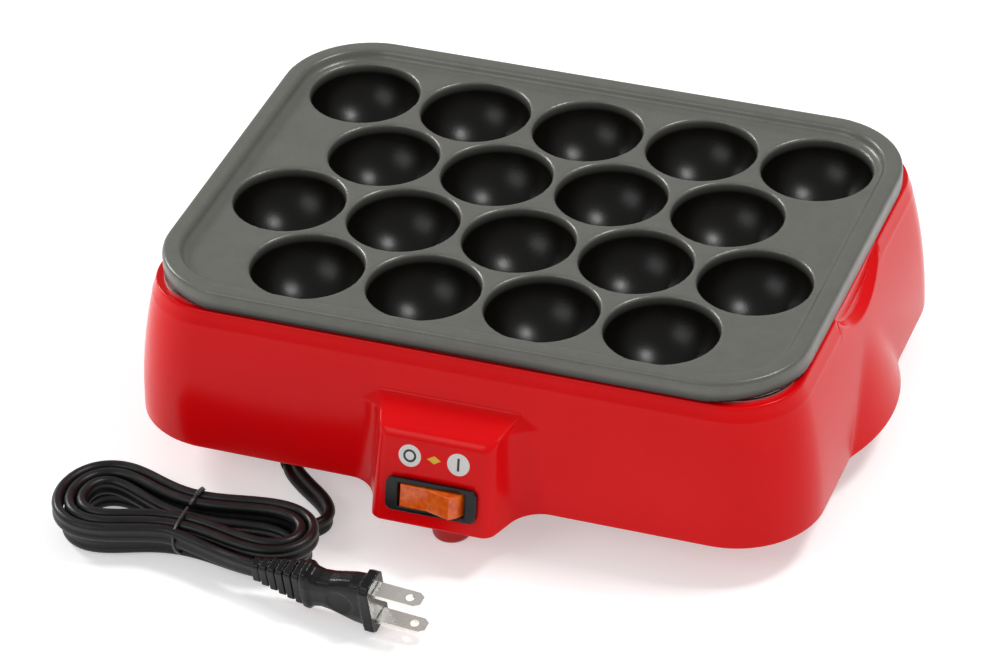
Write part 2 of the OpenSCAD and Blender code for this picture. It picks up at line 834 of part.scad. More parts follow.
module switch_housing() {
    body_l = bezel_l - 5;
    body_h = bezel_w - 1.5;
    color(BLACK) on_face() difference() {
        union() {
            rotate([90, 0, 0])
                slab(bezel_l, bezel_w, 2.4, bezel_t);
            translate([-body_l / 2, 0, -body_h / 2])
                cube([body_l, switch_depth, body_h]);
        }
        translate([-window_l / 2, -bezel_t - 1, -window_w / 2])
            cube([window_l, bezel_t + switch_depth, window_w]);
        translate([0, pivot_in, 0])
            cylinder(h = body_h + 2, r = stub_r + 0.05, center = true, $fn = 32);
        for (x = [-1, 0, 1])
            translate([x * term_x, switch_depth, 0])
                cube([0.8, 6, 4.8], center = true);
    }
}

module switch_terminals() {
    color(STEEL) on_face() for (x = [-1, 0, 1])
        translate([x * term_x - 0.4, switch_depth - 1, -2.4])
            cube([0.8, term_y - switch_depth + 1, 4.8]);
}

module neon_lamp() {
    color([1, 0.6, 0.3]) on_face() translate([term_x / 2, switch_depth - 1, 0])
        rotate([90, 0, 0]) {
            cylinder(h = 1.6, r = 1.6, $fn = 32);
            translate([0, 0, 1.6])
                sphere(1.6, $fn = 32);
        }
}

// An open V over a disc about the pivot, flat behind
module rocker() {
    vee = rocker_face / cos(rocker_travel / 2);
    rise = tan(rocker_travel / 2) * window_l;
    color([0.95, 0.35, 0.08]) on_face() translate([0, pivot_in, 0])
        rotate([0, 0, -rocker_travel / 2]) {
            linear_extrude(height = rocker_w, center = true)
                intersection() {
                    circle(rocker_r, $fn = 96);
                    polygon([[0, -vee], [window_l, -vee - rise], [window_l, 1.5], [-window_l, 1.5],
                        [-window_l, -vee - rise]]);
                }
            cylinder(h = bezel_w - 1.5, r = stub_r, center = true, $fn = 32);
        }
}

// ---- Cord ----

module cord_bush() {
    color(BLACK) translate([bush_at[0], bush_at[1], 0])
        difference() {
            union() {
                translate([0, 0, cover_z - 1.5])
                    cylinder(h = 1.5, r = bush_r + 1.8);
                translate([0, 0, cover_z - 3.6])
                    cylinder(h = 2.2, r1 = bush_r - 0.8, r2 = bush_r);
                translate([0, 0, cover_z - 0.1])
                    cylinder(h = cover_t + 0.2, r = bush_r);
                translate([0, 0, cover_top])
                    cylinder(h = 1.5, r = bush_r + 1.8);
            }
            translate([-cord_w / 2, -cord_t / 2, 0])
                cube([cord_w, cord_t, 40]);
        }
}

module cord_inner() {
    p = distinct(rounded_route([[bush_at[0], bush_at[1], bush_z], [bush_at[0], bush_at[1], cord_z],
        [bush_at[0], clamp_y - 5, cord_z], [bush_at[0], core_y, cord_z]], 5));
    color(BLACK)
        tube(p, [for (q = p) [1, 0, 0]], cord_w, cord_t, 8);
}

module cord_clamp() {
    color(BLACK) translate([bush_at[0], clamp_y, clamp_z])
        difference() {
            translate([-11, -4, 0])
                cube([22, 8, cord_t + 1.6]);
            translate([-cord_w / 2, -5, -1])
                cube([cord_w, 10, cord_t + 1]);
            for (s = [-1, 1])
                translate([s * 7.4, 0, -1])
                    cylinder(h = cord_t + 4, r = 1.25, $fn = 24);
        }
}

module clamp_screws() {
    color(STEEL) for (s = [-1, 1])
        translate([bush_at[0] + s * 7.4, clamp_y, clamp_z + cord_t + 1.6])
            difference() {
                union() {
                    cylinder(h = 1.5, r1 = 2.5, r2 = 1.8, $fn = 24);
                    translate([0, 0, -cord_t - 6.6])
                        cylinder(h = cord_t + 7, r = 1.25, $fn = 24);
                }
                translate([0, 0, 1.5])
                    mirror([0, 0, 1])
                        cross_recess(2.4, 0.7);
            }
}

function lerp(a, b, f) = a + (b - a) * max(0, min(1, f));

// The stretch leaves the bush, lies down, turns back and runs in on edge along the hank's far side
stretch_route = [[bush_at[0], bush_at[1], bush_z], [bush_at[0], bush_at[1] - 0.8, 4.6],
    [-66, -66, 4.2], [-56, -75, 3.8], [-45, -83, 3.8], [-39.5, -92, 4], [-45, -100, 4.2],
    [-57, -98.6, hank_low],
    hank_point(-1) - hank_dir(hank_from) * 6, hank_point(-1)];

module cord_stretch() {
    p = distinct(rounded_route(stretch_route, 4));
    n = len(p) - 1;
    ups = [for (i = [0 : n]) let (f = i / n)
        f < 0.35 ? lerp([1, 0, 0], [0.34, 0.62, 0.7], f / 0.35)
        : lerp([0.34, 0.62, 0.7], [0, 0, 1], (f - 0.35) / 0.3)];
    color(BLACK)
        tube(p, ups, cord_w, cord_t, 8);
}

// One loop is an oval drawn in at its middle; the next lies outside it, one pitch away
function hank_base(a) = [hank_half * cos(a),
    sin(a) * (hank_waist + hank_bulge * cos(a) * cos(a) * (1 - hank_skew * cos(a)))];
function hank_dir(a) = let (d = unit(hank_base(a + 1) - hank_base(a - 1))) [d[0], d[1], 0];
function hank_lift(a) = hank_low + hank_layer * max(0, min(1, (a - hank_turn + 90) / 180));
function hank_spot(a) = let (b = hank_base(a), d = hank_dir(a), r = hank_pitch * abs(a - hank_turn) / 360)
    [hank_at[0] + b[0] + d[1] * r, hank_at[1] + b[1] - d[0] * r, hank_lift(a)];

// Points of the wound tube; the first and the last run straight on for a diameter
function hank_point(i) = i < 0 ? hank_spot(hank_from) - hank_dir(hank_from) * cord_t
    : i > hank_rings ? hank_spot(hank_from + hank_step * hank_rings)
        + hank_dir(hank_from + hank_step * hank_rings) * cord_t
    : hank_spot(hank_from + hank_step * i);
function hex_ring(p, d) = let (s = unit(cross([0, 0, 1], d)), u = cross(d, s), w = cord_w, t = cord_t)
    [for (q = [[t / 2, 0.27 * w], [0, w / 2], [-t / 2, 0.27 * w], [-t / 2, -0.27 * w], [0, -w / 2],
        [t / 2, -0.27 * w]]) p + s * q[0] + u * q[1]];
function hank_ring(i) = let (p = hank_point(i))
    hex_ring(p, i < 0 ? hank_dir(hank_from)
    : i > hank_rings ? hank_dir(hank_from + hank_step * hank_rings)
    : i == 0 || i == hank_rings ? hank_dir(hank_from + hank_step * i)
    : unit(hank_point(i + 1) - hank_point(i - 1)));

module cord_hank() {
    rings = [for (i = [-1 : hank_rings + 1]) hank_ring(i)];
    n = len(rings);
    gap = min([for (i = [0 : n - 9]) min([for (j = [i + 8 : n - 1])
        norm(hank_point(i - 1) - hank_point(j - 1)) > 12 ? 99
        : min([for (a = rings[i]) min([for (b = rings[j]) norm(a - b)])])])]);
    echo("least self-gap of the hank", gap);
    color(BLACK)
        skin(rings);
}

tail_route = [hank_point(hank_rings + 1),
    hank_point(hank_rings + 1) + hank_dir(hank_from + hank_step * hank_rings),
    [-80, -126.2, 11.4], [-72, -127.6, 10.6], [-64, -130.2, 10.6], on_plug_axis(-6),
    on_plug_axis(0)];
function on_plug_axis(x) = plug_at + [x * cos(plug_turn), x * sin(plug_turn), 0];

module cord_tail() {
    p = distinct(rounded_route(tail_route, 4));
    n = len(p) - 1;
    color(BLACK)
        tube(p, [for (i = [0 : n]) lerp([0, 0, 1], [0, -sin(plug_roll), cos(plug_roll)], i / n)],
            cord_w, cord_t, 8);
}

// A wire tied round the waist, outside the tail
tie_x = -83;
tie_top = hank_low + hank_layer + cord_w / 2;
tie_route = [[tie_x, -112, tie_top + 0.3], [tie_x, -104.5, tie_top + 0.2],
    [tie_x, -101.4, tie_top - 5], [tie_x, -101.6, 4], [tie_x, -104, 0.4], [tie_x, -120, 0.4],
    [tie_x, -123.4, 3], [tie_x, -127.6, 8], [tie_x, -127.9, tie_top - 2],
    [tie_x, -124, tie_top + 0.3], [tie_x, -114, tie_top + 0.4]];

module cord_tie() {
    p = distinct(rounded_route(tie_route, 4));
    color(BLACK)
        tube(p, [for (q = p) [1, 0, 0]], 1.6, 0.7, 8);
}

// ---- Plug ----

module on_plug() {
    translate(plug_at)
        rotate([plug_roll, 0, plug_turn])
            children();
}

// A rounded section of height h and thickness t, square to the plug's axis
function section(x, h, t) = [for (k = [0 : 15]) let (a = 22.5 * (k + 0.5), c = cos(a), s = sin(a))
    [x, sign(c) * t / 2 * pow(abs(c), 0.6), sign(s) * h / 2 * pow(abs(s), 0.6)]];

module plug_relief() {
    ribs = 6;
    step = (relief_l - 2.4) / (ribs - 1);
    color(BLACK) on_plug() {
        for (i = [0 : ribs - 1])
            translate([i * step, 0, 0])
                rotate([90, 0, 90])
                    slab(5.2 + i * 0.75, 8.6 + i * 1.1, 1.6, 2.4);
        for (i = [0 : ribs - 2])
            translate([i * step + 2.4, 0, 0])
                rotate([90, 0, 90])
                    slab(4.4 + i * 0.6, 7.6 + i * 0.9, 1.2, step - 2.4);
    }
}

module plug_body() {
    x = relief_l;
    f = x + plug_l - 3.6;
    color(BLACK) on_plug() difference() {
        union() {
            skin([section(x, 16, 9.6), section(x + 0.8, 18.2, 11), section(x + 2.6, 18.4, 11.2),
                section(x + 4, 15, 9.8), section(x + 7, 13.4, 9.4), section(x + 11, 14.6, 9.6),
                section(x + 15, 17.2, 10), section(x + 19, 19.6, 10.4), section(f, 20.6, 10.8)]);
            translate([f, 0, 0])
                rotate([90, 0, 90])
                    linear_extrude(height = 3.6)
                        polygon([[-plug_t / 2, -plug_w / 2 + 2], [-plug_t / 2 + 2, -plug_w / 2],
                            [plug_t / 2 - 2, -plug_w / 2], [plug_t / 2, -plug_w / 2 + 2],
                            [plug_t / 2, plug_w / 2 - 2], [plug_t / 2 - 2, plug_w / 2],
                            [-plug_t / 2 + 2, plug_w / 2], [-plug_t / 2, plug_w / 2 - 2]]);
        }
        for (s = [-1, 1])
            translate([x + 15, s * 9.9, 0])
                rotate([90, 0, 0])
                    cylinder(h = 11, r = 5, center = true, $fn = 32);
        for (s = [-1, 1])
            translate([f - 6, -blade_w / 2, s * blade_pitch / 2 - blade_t / 2])
                cube([12, blade_w, blade_t]);
    }
}

module plug_blades() {
    f = relief_l + plug_l;
    color(STEEL) on_plug() for (s = [-1, 1])
        translate([0, 0, s * blade_pitch / 2 - blade_t / 2])
            difference() {
                linear_extrude(height = blade_t)
                    polygon([[f - 9.6, -blade_w / 2], [f + blade_l - 2, -blade_w / 2],
                        [f + blade_l, -blade_w / 2 + 1.4], [f + blade_l, blade_w / 2 - 1.4],
                        [f + blade_l - 2, blade_w / 2], [f - 9.6, blade_w / 2]]);
                translate([f + blade_l - 4.5, 0, -1])
                    cylinder(h = 4, r = 1.5, $fn = 24);
            }
}

body_shell();
bottom_cover();
cover_screws();
reflector_pan();
pan_screws();
heater_tube();
heater_seals();
heater_pins();
heater_clips();
thermostat();
thermostat_cap();
thermostat_screws();
thermal_fuse();
fuse_clip();
lead_live();
lead_link();
lead_heater();
lead_switched();
lead_neutral();
crimp_caps();
switch_housing();
switch_terminals();
neon_lamp();
rocker();
cook_plate();
cord_bush();
cord_inner();
cord_clamp();
clamp_screws();
cord_stretch();
cord_hank();
cord_tail();
cord_tie();
plug_relief();
plug_body();
plug_blades();
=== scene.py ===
import math
import bpy
import bmesh
from mathutils import Matrix, Vector


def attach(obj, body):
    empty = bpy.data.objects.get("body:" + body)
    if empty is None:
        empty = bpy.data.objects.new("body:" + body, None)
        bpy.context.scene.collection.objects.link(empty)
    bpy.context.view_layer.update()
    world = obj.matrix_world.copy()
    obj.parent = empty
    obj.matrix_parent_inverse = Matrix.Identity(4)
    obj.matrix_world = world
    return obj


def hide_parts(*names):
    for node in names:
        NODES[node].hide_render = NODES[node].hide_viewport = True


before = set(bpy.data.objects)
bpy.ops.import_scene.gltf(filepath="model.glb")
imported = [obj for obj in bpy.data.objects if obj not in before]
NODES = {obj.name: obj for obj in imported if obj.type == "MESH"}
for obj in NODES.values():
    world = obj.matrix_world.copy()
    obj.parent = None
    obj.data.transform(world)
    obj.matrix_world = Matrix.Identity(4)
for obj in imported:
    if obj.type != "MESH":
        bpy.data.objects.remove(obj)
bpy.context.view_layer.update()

MM = 0.001
scene = bpy.context.scene
scene.view_settings.view_transform = "Standard"

# ---- Camera at the photograph's viewing angle ----

cam_data = bpy.data.cameras.new("camera")
cam_data.sensor_width = 36
cam_data.lens = 169.87
cam_data.clip_end = 20
cam = bpy.data.objects.new("camera", cam_data)
scene.collection.objects.link(cam)
right = Vector((0.941264, 0.336785, -0.024441))
down = Vector((0.172920, -0.542926, -0.821784))
ahead = Vector((-0.290034, 0.769290, -0.569274))
cam.matrix_world = Matrix.Translation((0.47266, -1.28147, 0.97699)) @ Matrix((
    (right.x, -down.x, -ahead.x, 0), (right.y, -down.y, -ahead.y, 0), (right.z, -down.z, -ahead.z, 0),
    (0, 0, 0, 1)))
scene.camera = cam


# ---- Mesh helpers ----

def add(name, verts, faces, smooth=True):
    me = bpy.data.meshes.new(name)
    me.from_pydata([tuple(v) for v in verts], [], faces)
    me.validate()
    bm = bmesh.new()
    bm.from_mesh(me)
    bmesh.ops.remove_doubles(bm, verts=bm.verts, dist=1e-6)
    bmesh.ops.recalc_face_normals(bm, faces=bm.faces)
    bm.to_mesh(me)
    bm.free()
    for p in me.polygons:
        p.use_smooth = smooth
    ob = bpy.data.objects.new(name, me)
    scene.collection.objects.link(ob)
    return ob


def skin(name, rings, caps=True, closed=False):
    n = len(rings[0])
    m = len(rings)
    faces = []
    for i in range(m if closed else m - 1):
        for k in range(n):
            a, b = i * n + k, i * n + (k + 1) % n
            c, d = ((i + 1) % m) * n + (k + 1) % n, ((i + 1) % m) * n + k
            faces.append((a, b, c, d))
    if caps and not closed:
        faces.append(tuple(range(n - 1, -1, -1)))
        faces.append(tuple(range((m - 1) * n, m * n)))
    return add(name, [v for r in rings for v in r], faces)


def bake_modifiers(ob):
    dg = bpy.context.evaluated_depsgraph_get()
    me = bpy.data.meshes.new_from_object(ob.evaluated_get(dg))
    ob.modifiers.clear()
    ob.data = me
    return ob


def soften(node, name, voxel, rounds, factor=0.5, ratio=1.0):
    """A new piece in the place of a CAD node, with every edge rounded as a mould leaves it."""
    me = NODES[node].data.copy()
    me.name = name
    me.materials.clear()
    bm = bmesh.new()
    bm.from_mesh(me)
    bmesh.ops.remove_doubles(bm, verts=bm.verts, dist=2e-6)
    bm.to_mesh(me)
    bm.free()
    ob = bpy.data.objects.new(name, me)
    scene.collection.objects.link(ob)
    m = ob.modifiers.new("Remesh", "REMESH")
    m.mode = "VOXEL"
    m.voxel_size = voxel
    m.use_smooth_shade = True
    m = ob.modifiers.new("Smooth", "SMOOTH")
    m.factor = factor
    m.iterations = rounds
    if ratio < 1:
        m = ob.modifiers.new("Decimate", "DECIMATE")
        m.ratio = ratio
    bake_modifiers(ob)
    for p in ob.data.polygons:
        p.use_smooth = True
    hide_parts(node)
    return ob


def unit(v):
    return v.normalized()


def lerp(a, b, f):
    f = max(0.0, min(1.0, f))
    return a + (b - a) * f


# ---- Cord: one flat twin lead from the bush, through the tied hank, to the plug ----

CORD_W = 7.0
CORD_T = 3.7
HANK_AT = (-83, -113.5)
HANK_LOW = 4.4
HANK_LAYER = 7.5
HANK_PITCH = 4.2
HANK_FROM = 75
HANK_TURN = HANK_FROM + 720
HANK_END = HANK_FROM + 15 * 108
BUSH = Vector((-70, -46.285, 13.0))
PLUG_AT = Vector((-50.5, -133.4, 11.6))
PLUG_TURN = math.radians(-5.7)
PLUG_ROLL = math.radians(11)


def hank_base(a):
    c, s = math.cos(math.radians(a)), math.sin(math.radians(a))
    return Vector((37.5 * c, s * (1.3 + 16 * c * c * (1 - 0.3 * c)), 0))


def hank_dir(a):
    return unit(hank_base(a + 1) - hank_base(a - 1))


def hank_spot(a):
    b, d = hank_base(a), hank_dir(a)
    r = HANK_PITCH * abs(a - HANK_TURN) / 360
    z = HANK_LOW + HANK_LAYER * max(0, min(1, (a - HANK_TURN + 90) / 180))
    return Vector((HANK_AT[0] + b.x + d.y * r, HANK_AT[1] + b.y - d.x * r, z))


def on_plug_axis(x):
    return PLUG_AT + Vector((x * math.cos(PLUG_TURN), x * math.sin(PLUG_TURN), 0))


def rounded(route, n):
    out = [route[0]]
    for i in range(1, len(route) - 1):
        a, b, c = route[i - 1], route[i], route[i + 1]
        for k in range(n + 1):
            t = k / n
            out.append((a + b) / 2 * (1 - t) ** 2 + b * 2 * t * (1 - t) + (b + c) / 2 * t * t)
    out.append(route[-1])
    return [p for i, p in enumerate(out) if i == 0 or (p - out[i - 1]).length > 0.01]


hank_start = hank_spot(HANK_FROM) - hank_dir(HANK_FROM) * 3.6
hank_stop = hank_spot(HANK_END) + hank_dir(HANK_END) * 3.6
stretch = rounded([BUSH, BUSH + Vector((0, -0.8, -8.4)), Vector((-66, -66, 4.2)), Vector((-56, -75, 3.8)),
                   Vector((-45, -83, 3.8)), Vector((-39.5, -92, 4)), Vector((-45, -100, 4.2)),
                   Vector((-57, -98.6, HANK_LOW)), hank_start - hank_dir(HANK_FROM) * 6, hank_start], 8)
tail = rounded([hank_stop, hank_stop + hank_dir(HANK_END), Vector((-80, -126.2, 11.4)),
                Vector((-72, -127.6, 10.6)), Vector((-64, -130.2, 10.6)), on_plug_axis(-6),
                on_plug_axis(0), on_plug_axis(3)], 8)
X, DIAG, Z = Vector((1, 0, 0)), Vector((0.34, 0.62, 0.7)), Vector((0, 0, 1))
ROLLED = Vector((0, -math.sin(PLUG_ROLL), math.cos(PLUG_ROLL)))
route = []
for i, p in enumerate(stretch[:-1]):
    f = i / (len(stretch) - 1)
    route.append((p, lerp(X, DIAG, f / 0.35) if f < 0.35 else lerp(DIAG, Z, (f - 0.35) / 0.3)))
route += [(hank_spot(HANK_FROM + 5 * i), Z) for i in range(int((HANK_END - HANK_FROM) / 5) + 1)]
route += [(p, lerp(Z, ROLLED, i / (len(tail) - 1))) for i, p in enumerate(tail)]


def resample(pairs, step):
    whole = sum((q - p).length for (p, u), (q, v) in zip(pairs, pairs[1:]))
    step = whole / round(whole / step) + 1e-9
    out = [pairs[0]]
    left = step
    for (p, u), (q, v) in zip(pairs, pairs[1:]):
        span = (q - p).length
        at = left
        while at < span:
            out.append((p.lerp(q, at / span), u.lerp(v, at / span)))
            at += step
        left = at - span
    out.append(pairs[-1])
    return out


route = resample(route, 1.6)
for _ in range(3):
    route = [route[0]] + [((route[i - 1][0] + route[i][0] * 2 + route[i + 1][0]) / 4,
                           (route[i - 1][1] + route[i][1] * 2 + route[i + 1][1]) / 4)
                          for i in range(1, len(route) - 1)] + [route[-1]]


def frames(pairs):
    """Point, direction, across and up vectors along the route."""
    out = []
    for i, (p, u) in enumerate(pairs):
        d = unit(pairs[min(i + 1, len(pairs) - 1)][0] - pairs[max(i - 1, 0)][0])
        s = unit(u.cross(d))
        out.append((p, d, s, d.cross(s)))
    return out


def twin_section(w, t, groove):
    """Half outline points of a flat twin lead: two cores side by side with a groove between them."""
    r = t / 2
    c = w / 2 - r
    pts = []
    for k in range(9):
        a = math.radians(-80 + 20 * k)
        pts.append((c + r * math.cos(a), r * math.sin(a)))
    top = [(c, r), (c * 0.62, math.sqrt(max(r * r - (c * 0.38) ** 2, 0))), (0.42, r - groove * 0.8),
           (0, r - groove)]
    side = pts + top
    left = [(-x, y) for x, y in reversed(side[:-1])]
    low = [(-c, -r), (-c * 0.62, -top[1][1]), (-0.42, -top[2][1]), (0, -top[3][1]), (0.42, -top[2][1]),
           (c * 0.62, -top[1][1]), (c, -r)]
    out = side + left + low
    return [q for i, q in enumerate(out) if i == 0 or math.dist(q, out[i - 1]) > 1e-4]


SECTION = twin_section(CORD_W, CORD_T, 0.55)
rings = []
for p, d, s, u in frames(route):
    rings.append([(p + u * a + s * b) * MM for a, b in SECTION])
cord = skin("cord", rings)

# The sleeve that leaves the bush and tapers down the cord
sleeve_rings = []
count = 16
for i, (p, d, s, u) in enumerate(frames(route)[:count + 1]):
    f = i / count
    wave = 0.35 if i % 3 == 1 and 1 < i < count - 1 else 0
    a, b = 5.0 - 1.0 * f - wave, 3.1 - 0.9 * f - wave * 0.8
    if i == count:
        a, b = a - 0.25, b - 0.25
    sleeve_rings.append([(p + u * a * math.copysign(abs(math.cos(t)) ** 0.7, math.cos(t))
                          + s * b * math.copysign(abs(math.sin(t)) ** 0.7, math.sin(t))) * MM
                         for t in [math.tau * k / 24 for k in range(24)]])
sleeve = skin("cord_sleeve", sleeve_rings)

# The wire tie round the hank's waist, with its ends twisted together on top
TIE_X, TIE_TOP = -83, HANK_LOW + HANK_LAYER + 3.5
tie_path = rounded([Vector(q) for q in (
    (TIE_X, -112, TIE_TOP + 0.3), (TIE_X, -104.5, TIE_TOP + 0.2), (TIE_X, -101.4, TIE_TOP - 5),
    (TIE_X, -101.6, 4), (TIE_X, -104, 0.75), (TIE_X, -120, 0.75), (TIE_X, -123.4, 3),
    (TIE_X, -127.6, 8), (TIE_X, -127.9, TIE_TOP - 2), (TIE_X, -124, TIE_TOP + 0.3),
    (TIE_X, -114, TIE_TOP + 0.4))], 8)


def round_tube(name, points, radius, sides=10, up=Vector((0.3, 0.2, 1))):
    out = []
    for p, d, s, u in frames([(q, up) for q in points]):
        out.append([(p + s * radius * math.cos(t) + u * radius * math.sin(t)) * MM
                    for t in [math.tau * k / sides for k in range(sides)]])
    return out


parts = [round_tube("tie", tie_path, 0.55, up=Vector((1, 0.05, 0.05)))]
for phase in (0, math.pi):
    twist = []
    for k in range(21):
        f = k / 20
        a = phase + f * math.tau * 2.5
        centre = Vector((TIE_X + 1.2 * f, -106.4 + 3.6 * f, TIE_TOP + 0.3 + 0.7 * math.sin(f * 2.2)))
        twist.append(centre + Vector((math.cos(a), 0, math.sin(a))) * 0.5)
    parts.append(round_tube("twist", twist, 0.42, 8))
verts, faces = [], []
for part in parts:
    n, base, m = len(part[0]), len(verts), len(part)
    verts += [v for r in part for v in r]
    faces += [(base + i * n + k, base + i * n + (k + 1) % n, base + (i + 1) * n + (k + 1) % n,
               base + (i + 1) * n + k) for i in range(m - 1) for k in range(n)]
    faces += [tuple(base + k for k in range(n - 1, -1, -1)), tuple(base + (m - 1) * n + k for k in range(n))]
tie = add("tie_wire", verts, faces)

# ---- Materials ----


def material(name, color, other, rough=(0.2, 0.3), metal=0.0, scale=300, blend=0.5, bump=0.1,
             bump_scale=900, edge_wear_and_sheen=None, edge_wear_and_sheen_amount=0.5, coat=0.0, spec=0.5, speck=None, deep=None,
             brushed=None, see=0.0, glow=None):
    """One procedural finish: mottled colour, uneven roughness, fine bump, edges lightened as wear and as a
    painted highlight, optional painted shade below a height and an optional painted glow.
    """
    m = bpy.data.materials.new(name)
    m.use_nodes = True
    t = m.node_tree
    b = t.nodes["Principled BSDF"]

    def node(kind, **values):
        n = t.nodes.new(kind)
        for k, v in values.items():
            setattr(n, k, v)
        return n

    def link(a, c):
        t.links.new(a, c)

    place = node("ShaderNodeTexCoord").outputs["Object"]
    if brushed:
        stretch_node = node("ShaderNodeMapping")
        stretch_node.inputs["Scale"].default_value = brushed
        link(place, stretch_node.inputs["Vector"])
        fine_place = stretch_node.outputs["Vector"]
    else:
        fine_place = place

    def noise(at, size, detail=3.0, roughness=0.55):
        n = node("ShaderNodeTexNoise")
        n.inputs["Scale"].default_value = size
        n.inputs["Detail"].default_value = detail
        n.inputs["Roughness"].default_value = roughness
        link(at, n.inputs["Vector"])
        return n.outputs["Fac"]

    def ranged(value, a, c, lo, hi):
        n = node("ShaderNodeMapRange")
        for key, v in (("From Min", a), ("From Max", c), ("To Min", lo), ("To Max", hi)):
            n.inputs[key].default_value = v
        link(value, n.inputs["Value"])
        return n.outputs["Result"]

    def mix(factor, one, two):
        n = node("ShaderNodeMix", data_type="RGBA")
        link(factor, n.inputs[0])
        for socket, v in ((n.inputs[6], one), (n.inputs[7], two)):
            if isinstance(v, tuple):
                socket.default_value = v + (1,)
            else:
                link(v, socket)
        return n.outputs[2]

    mottle = noise(place, scale)
    fine = noise(fine_place, bump_scale, 2.0)
    tint = mix(ranged(mottle, 0.35, 0.65, 0.0, blend), color, other)
    if speck:
        cells = node("ShaderNodeTexVoronoi")
        cells.inputs["Scale"].default_value = speck[1]
        link(place, cells.inputs["Vector"])
        grains = noise(place, speck[1] * 0.8, 2.0)
        dots = ranged(grains, 0.56, 0.66, 0.0, 1.0)
        tint = mix(dots, tint, speck[0])
        tint = mix(ranged(cells.outputs["Distance"], 0.10, 0.22, 0.75, 0.0), tint, speck[2])
    # Painted shade: the colour turns to the deep tint below a height, darkening the plate's pockets.
    if deep:
        split = node("ShaderNodeSeparateXYZ")
        link(place, split.inputs[0])
        tint = mix(ranged(split.outputs["Z"], deep[1], deep[2], 0.0, 1.0), tint, deep[0])
    # Lighter edges by pointiness: worn edges, and a painted highlight on the edges of the plate rim and the
    # rocker lens.
    if edge_wear_and_sheen:
        edge = node("ShaderNodeNewGeometry").outputs["Pointiness"]
        tint = mix(ranged(edge, 0.53, 0.62, 0.0, edge_wear_and_sheen_amount), tint, edge_wear_and_sheen)
    link(tint, b.inputs["Base Color"])
    link(ranged(mottle, 0.3, 0.7, rough[0], rough[1]), b.inputs["Roughness"])
    height = node("ShaderNodeBump")
    height.inputs["Strength"].default_value = bump
    height.inputs["Distance"].default_value = 0.0002
    link(fine, height.inputs["Height"])
    link(height.outputs["Normal"], b.inputs["Normal"])
    b.inputs["Metallic"].default_value = metal
    b.inputs["Specular IOR Level"].default_value = spec
    b.inputs["Coat Weight"].default_value = coat
    b.inputs["Coat Roughness"].default_value = 0.06
    b.inputs["Transmission Weight"].default_value = see
    # Painted glow: emission on a part that is no lamp.
    if glow:
        b.inputs["Emission Color"].default_value = glow[0] + (1,)
        b.inputs["Emission Strength"].default_value = glow[1]
    return m


red = material("red_gloss", (0.80, 0.0022, 0.0042), (0.75, 0.0018, 0.0038), rough=(0.20, 0.25), scale=45,
               bump=0.02, bump_scale=700, edge_wear_and_sheen=(0.90, 0.012, 0.012), edge_wear_and_sheen_amount=0.2, spec=0.16)
red_low = material("red_satin", (0.62, 0.003, 0.006), (0.54, 0.002, 0.005), rough=(0.3, 0.42), scale=80,
                   bump=0.12, bump_scale=1200, edge_wear_and_sheen=(0.75, 0.02, 0.02))
coated = material("speckled_coating", (0.152, 0.154, 0.136), (0.126, 0.128, 0.112), rough=(0.27, 0.33),
                  # lighter edge tint: painted highlight along the plate's rim edges
                  metal=0.2, scale=140, bump=0.2, bump_scale=2600, edge_wear_and_sheen=(0.26, 0.26, 0.24),
                  edge_wear_and_sheen_amount=0.6, speck=((0.15, 0.15, 0.14), 1900, (0.05, 0.05, 0.047)),
                  # deep tint below the rim height: painted shade in the pockets, not a different coating
                  deep=((0.0045, 0.0036, 0.0028), 0.0738, 0.0705), spec=0.34)
steel_pan = material("pan_sheet", (0.62, 0.62, 0.60), (0.52, 0.52, 0.50), rough=(0.30, 0.40), metal=1.0,
                     scale=60, bump=0.03, bump_scale=400, edge_wear_and_sheen=(0.8, 0.8, 0.78), edge_wear_and_sheen_amount=0.3,
                     brushed=(1, 12, 1))
sheath = material("element_sheath", (0.06, 0.062, 0.058), (0.10, 0.095, 0.085), rough=(0.42, 0.58),
                  metal=0.6, scale=220, bump=0.25, bump_scale=1500, edge_wear_and_sheen=(0.2, 0.19, 0.17))
bright = material("bright_steel", (0.66, 0.66, 0.65), (0.56, 0.56, 0.55), rough=(0.2, 0.34), metal=1.0,
                  scale=400, bump=0.1, bump_scale=1500, edge_wear_and_sheen=(0.85, 0.85, 0.83))
ceramic = material("ceramic", (0.78, 0.75, 0.68), (0.70, 0.67, 0.60), rough=(0.5, 0.65), scale=500,
                   bump=0.3, bump_scale=1800, edge_wear_and_sheen=(0.9, 0.88, 0.82))
black = material("black_plastic", (0.006, 0.006, 0.006), (0.011, 0.011, 0.011), rough=(0.20, 0.30),
                 scale=260, bump=0.08, bump_scale=1600, edge_wear_and_sheen=(0.04, 0.04, 0.04), spec=0.35)
orange = material("orange_lens", (0.86, 0.145, 0.005), (0.62, 0.055, 0.003), rough=(0.10, 0.18), scale=520,
                  # bright orange edge tint: painted highlight on the lens edges
                  blend=0.9, bump=0.15, bump_scale=500, edge_wear_and_sheen=(1.0, 0.42, 0.05), edge_wear_and_sheen_amount=0.95, see=0.1,
                  # faint emission: painted glow, no lamp is lit behind the lens
                  glow=((1.0, 0.20, 0.01), 0.05))
lamp = material("lamp_glass", (0.9, 0.45, 0.2), (0.8, 0.35, 0.15), rough=(0.05, 0.1), scale=400,
                bump=0.02, see=0.6, edge_wear_and_sheen=(1, 0.7, 0.5))
cord_black = material("cord_pvc", (0.0055, 0.0055, 0.006), (0.011, 0.011, 0.012), rough=(0.32, 0.44),
                      scale=180, bump=0.2, bump_scale=1400, edge_wear_and_sheen=(0.03, 0.03, 0.031), edge_wear_and_sheen_amount=0.7,
                      spec=0.32)
